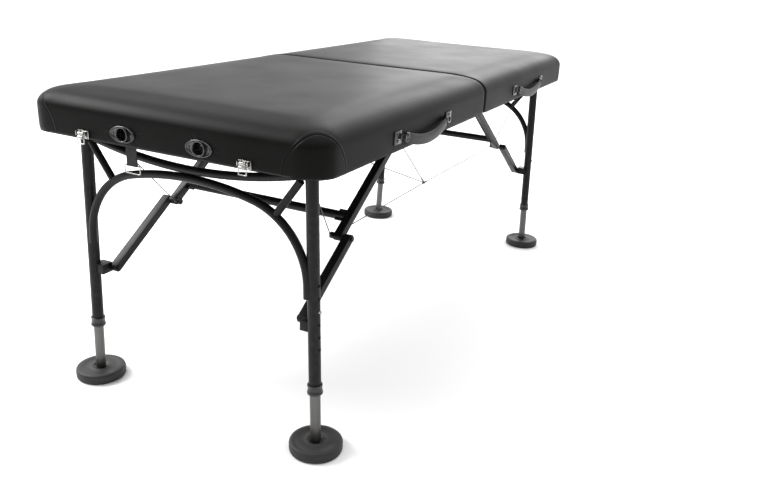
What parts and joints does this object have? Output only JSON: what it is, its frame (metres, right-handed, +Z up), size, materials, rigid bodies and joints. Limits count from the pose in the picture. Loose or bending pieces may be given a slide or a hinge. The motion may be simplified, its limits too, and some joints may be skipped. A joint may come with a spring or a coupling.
{
  "type": "chiropractic table",
  "caption": "Folding padded treatment table: split deck on splayed braced tube legs with sliding height posts, round floor pads, end latches, rod sockets and side carry handles.",
  "frame": {"origin": "on the floor under the middle of the open table, below the centre hinge", "axes": "+X along the table towards the end with the keepers, +Y across it away from the carry handles, +Z up"},
  "size_m": [1.823, 0.7924, 0.758],
  "materials": {
    "vinyl_top": "satin",
    "vinyl_side": "satin",
    "plywood": "matte",
    "rail_wood": "matte",
    "socket_plastic": "satin",
    "steel_hinge": "satin",
    "black_steel": "satin",
    "steel_pin": "satin",
    "bush_plastic": "matte",
    "post_aluminium": "satin",
    "button_steel": "polished",
    "pad_rubber": "matte",
    "grip_vinyl": "satin",
    "nickel": "polished",
    "stay_wire": "satin",
    "strap_web": "woven"
  },
  "bodies": {
    "near_half": {"cushion_near": "vinyl_top", "side_wrap_near": "vinyl_side", "deck_board_near": "plywood", "rim_rails_near": "rail_wood", "corner_panels_near": "vinyl_side", "sockets_near": "socket_plastic", "hinge_leaves_near": "steel_hinge", "leg_brackets_near": "black_steel", "strut_brackets_near": "black_steel", "pivot_pins_near": "steel_pin", "handle_fittings_near": "nickel", "stays_near": "stay_wire", "latch_plates": "nickel"},
    "hinge_pin": {"hinge_pins": "steel_hinge"},
    "far_half": {"cushion_far": "vinyl_top", "side_wrap_far": "vinyl_side", "deck_board_far": "plywood", "rim_rails_far": "rail_wood", "corner_panels_far": "vinyl_side", "sockets_far": "socket_plastic", "hinge_leaves_far": "steel_hinge", "leg_brackets_far": "black_steel", "strut_brackets_far": "black_steel", "pivot_pins_far": "steel_pin", "handle_fittings_far": "nickel", "stays_far": "stay_wire", "keepers": "nickel"},
    "legs_near": {"leg_tubes_near": "black_steel", "leg_bushes_near": "bush_plastic", "arch_near": "black_steel", "bow_near": "black_steel", "strut_lugs_near": "black_steel"},
    "upper_near": {"upper_struts_near": "black_steel"},
    "lower_near": {"lower_struts_near": "black_steel"},
    "legs_far": {"leg_tubes_far": "black_steel", "leg_bushes_far": "bush_plastic", "arch_far": "black_steel", "bow_far": "black_steel", "strut_lugs_far": "black_steel"},
    "upper_far": {"upper_struts_far": "black_steel"},
    "lower_far": {"lower_struts_far": "black_steel"},
    "post_near_left": {"post_near_left": "post_aluminium"},
    "button_near_left": {"button_near_left": "button_steel"},
    "pad_near_left": {"pad_near_left": "pad_rubber"},
    "post_near_right": {"post_near_right": "post_aluminium"},
    "button_near_right": {"button_near_right": "button_steel"},
    "pad_near_right": {"pad_near_right": "pad_rubber"},
    "post_far_left": {"post_far_left": "post_aluminium"},
    "button_far_left": {"button_far_left": "button_steel"},
    "pad_far_left": {"pad_far_left": "pad_rubber"},
    "post_far_right": {"post_far_right": "post_aluminium"},
    "button_far_right": {"button_far_right": "button_steel"},
    "pad_far_right": {"pad_far_right": "pad_rubber"},
    "handle_near": {"handle_near": "grip_vinyl"},
    "handle_far": {"handle_far": "grip_vinyl"},
    "latch_lever_left": {"latch_lever_left": "nickel"},
    "latch_loop_left": {"latch_loop_left": "nickel"},
    "latch_lever_right": {"latch_lever_right": "nickel"},
    "latch_loop_right": {"latch_loop_right": "nickel"},
    "hanging_strap": {"hanging_strap": "strap_web"}
  },
  "joints": [
    {"name": "fold_near", "type": "hinge", "parent": "hinge_pin", "child": "near_half", "pos_m": [0, 0, 0.658], "axis": [0, -1, 0], "range_deg": [0, 90], "deforming": ["stays_near"]},
    {"name": "fold_far", "type": "hinge", "parent": "hinge_pin", "child": "far_half", "pos_m": [0, 0, 0.658], "axis": [0, 1, 0], "range_deg": [0, 90], "deforming": ["stays_far"]},
    {"name": "legs_fold_near", "type": "hinge", "parent": "near_half", "child": "legs_near", "pos_m": [-0.805, 0, 0.6785], "axis": [0, -1, 0], "range_deg": [0, 90]},
    {"name": "upper_brace_near", "type": "hinge", "parent": "near_half", "child": "upper_near", "pos_m": [-0.173, 0, 0.704], "axis": [0, 1, 0], "range_deg": [0, 33.34]},
    {"name": "lower_brace_near", "type": "hinge", "parent": "legs_near", "child": "lower_near", "pos_m": [-0.7795, 0, 0.305], "axis": [0, -1, 0], "range_deg": [0, 56.66]},
    {"name": "legs_fold_far", "type": "hinge", "parent": "far_half", "child": "legs_far", "pos_m": [0.805, 0, 0.6785], "axis": [0, 1, 0], "range_deg": [0, 90]},
    {"name": "upper_brace_far", "type": "hinge", "parent": "far_half", "child": "upper_far", "pos_m": [0.173, 0, 0.704], "axis": [0, -1, 0], "range_deg": [0, 33.34]},
    {"name": "lower_brace_far", "type": "hinge", "parent": "legs_far", "child": "lower_far", "pos_m": [0.7795, 0, 0.305], "axis": [0, 1, 0], "range_deg": [0, 56.66]},
    {"name": "height_near_left", "type": "slide", "parent": "legs_near", "child": "post_near_left", "axis": [0, 0.0334, -0.9994], "range_m": [-0.09, 0]},
    {"name": "press_near_left", "type": "slide", "parent": "legs_near", "child": "button_near_left", "axis": [0, -0.9994, -0.0334], "range_m": [0, 0.003], "stiffness_N_per_m": 1500, "springref_m": -0.002},
    {"name": "pad_turn_near_left", "type": "hinge", "parent": "post_near_left", "child": "pad_near_left", "pos_m": [-0.76715, 0.3087, -0.00385], "axis": [-0.2984, -0.9066, 0.2984], "range_deg": [0, 95.61]},
    {"name": "height_near_right", "type": "slide", "parent": "legs_near", "child": "post_near_right", "axis": [0, -0.0334, -0.9994], "range_m": [-0.09, 0]},
    {"name": "press_near_right", "type": "slide", "parent": "legs_near", "child": "button_near_right", "axis": [0, 0.9994, -0.0334], "range_m": [0, 0.003], "stiffness_N_per_m": 1500, "springref_m": -0.002},
    {"name": "pad_turn_near_right", "type": "hinge", "parent": "post_near_right", "child": "pad_near_right", "pos_m": [-0.76715, -0.3087, -0.00385], "axis": [0.2984, -0.9066, -0.2984], "range_deg": [0, 95.61]},
    {"name": "height_far_left", "type": "slide", "parent": "legs_far", "child": "post_far_left", "axis": [0, 0.0334, -0.9994], "range_m": [-0.09, 0]},
    {"name": "press_far_left", "type": "slide", "parent": "legs_far", "child": "button_far_left", "axis": [0, -0.9994, -0.0334], "range_m": [0, 0.003], "stiffness_N_per_m": 1500, "springref_m": -0.002},
    {"name": "pad_turn_far_left", "type": "hinge", "parent": "post_far_left", "child": "pad_far_left", "pos_m": [0.76715, 0.3087, -0.00385], "axis": [-0.2984, 0.9066, -0.2984], "range_deg": [0, 95.61]},
    {"name": "height_far_right", "type": "slide", "parent": "legs_far", "child": "post_far_right", "axis": [0, -0.0334, -0.9994], "range_m": [-0.09, 0]},
    {"name": "press_far_right", "type": "slide", "parent": "legs_far", "child": "button_far_right", "axis": [0, 0.9994, -0.0334], "range_m": [0, 0.003], "stiffness_N_per_m": 1500, "springref_m": -0.002},
    {"name": "pad_turn_far_right", "type": "hinge", "parent": "post_far_right", "child": "pad_far_right", "pos_m": [0.76715, -0.3087, -0.00385], "axis": [0.2984, 0.9066, 0.2984], "range_deg": [0, 95.61]},
    {"name": "handle_swing_near", "type": "hinge", "parent": "near_half", "child": "handle_near", "pos_m": [-0.43, -0.3927, 0.69], "axis": [-1, 0, 0], "range_deg": [0, 35]},
    {"name": "handle_swing_far", "type": "hinge", "parent": "far_half", "child": "handle_far", "pos_m": [0.43, -0.3927, 0.69], "axis": [-1, 0, 0], "range_deg": [0, 35]},
    {"name": "latch_left", "type": "hinge", "parent": "near_half", "child": "latch_lever_left", "pos_m": [-0.9067, 0.211, 0.672], "axis": [0, 1, 0], "range_deg": [0, 100]},
    {"name": "latch_loop_turn_left", "type": "hinge", "parent": "latch_lever_left", "child": "latch_loop_left", "pos_m": [-0.9087, 0.211, 0.665], "axis": [0, 1, 0], "range_deg": [-80, 0]},
    {"name": "latch_right", "type": "hinge", "parent": "near_half", "child": "latch_lever_right", "pos_m": [-0.9067, -0.211, 0.672], "axis": [0, 1, 0], "range_deg": [0, 100]},
    {"name": "latch_loop_turn_right", "type": "hinge", "parent": "latch_lever_right", "child": "latch_loop_right", "pos_m": [-0.9087, -0.211, 0.665], "axis": [0, 1, 0], "range_deg": [-80, 0]},
    {"name": "strap_tuck", "type": "hinge", "parent": "near_half", "child": "hanging_strap", "pos_m": [-0.8772, 0.1, 0.667], "axis": [0, -1, 0], "range_deg": [0, 90]}
  ],
  "couplings": [
    {"joint": "legs_fold_near", "follows": "fold_near", "ratio": 1},
    {"joint": "upper_brace_near", "follows": "fold_near", "ratio": 0.37044},
    {"joint": "lower_brace_near", "follows": "fold_near", "ratio": 0.62956},
    {"joint": "legs_fold_far", "follows": "fold_far", "ratio": 1},
    {"joint": "upper_brace_far", "follows": "fold_far", "ratio": 0.37044},
    {"joint": "lower_brace_far", "follows": "fold_far", "ratio": 0.62956},
    {"joint": "pad_turn_near_left", "follows": "fold_near", "ratio": 1.0623},
    {"joint": "pad_turn_near_right", "follows": "fold_near", "ratio": 1.0623},
    {"joint": "pad_turn_far_left", "follows": "fold_far", "ratio": 1.0623},
    {"joint": "pad_turn_far_right", "follows": "fold_far", "ratio": 1.0623},
    {"joint": "latch_loop_turn_left", "follows": "latch_left", "ratio": -0.8},
    {"joint": "latch_loop_turn_right", "follows": "latch_right", "ratio": -0.8},
    {"joint": "strap_tuck", "follows": "fold_near", "ratio": 1}
  ]
}
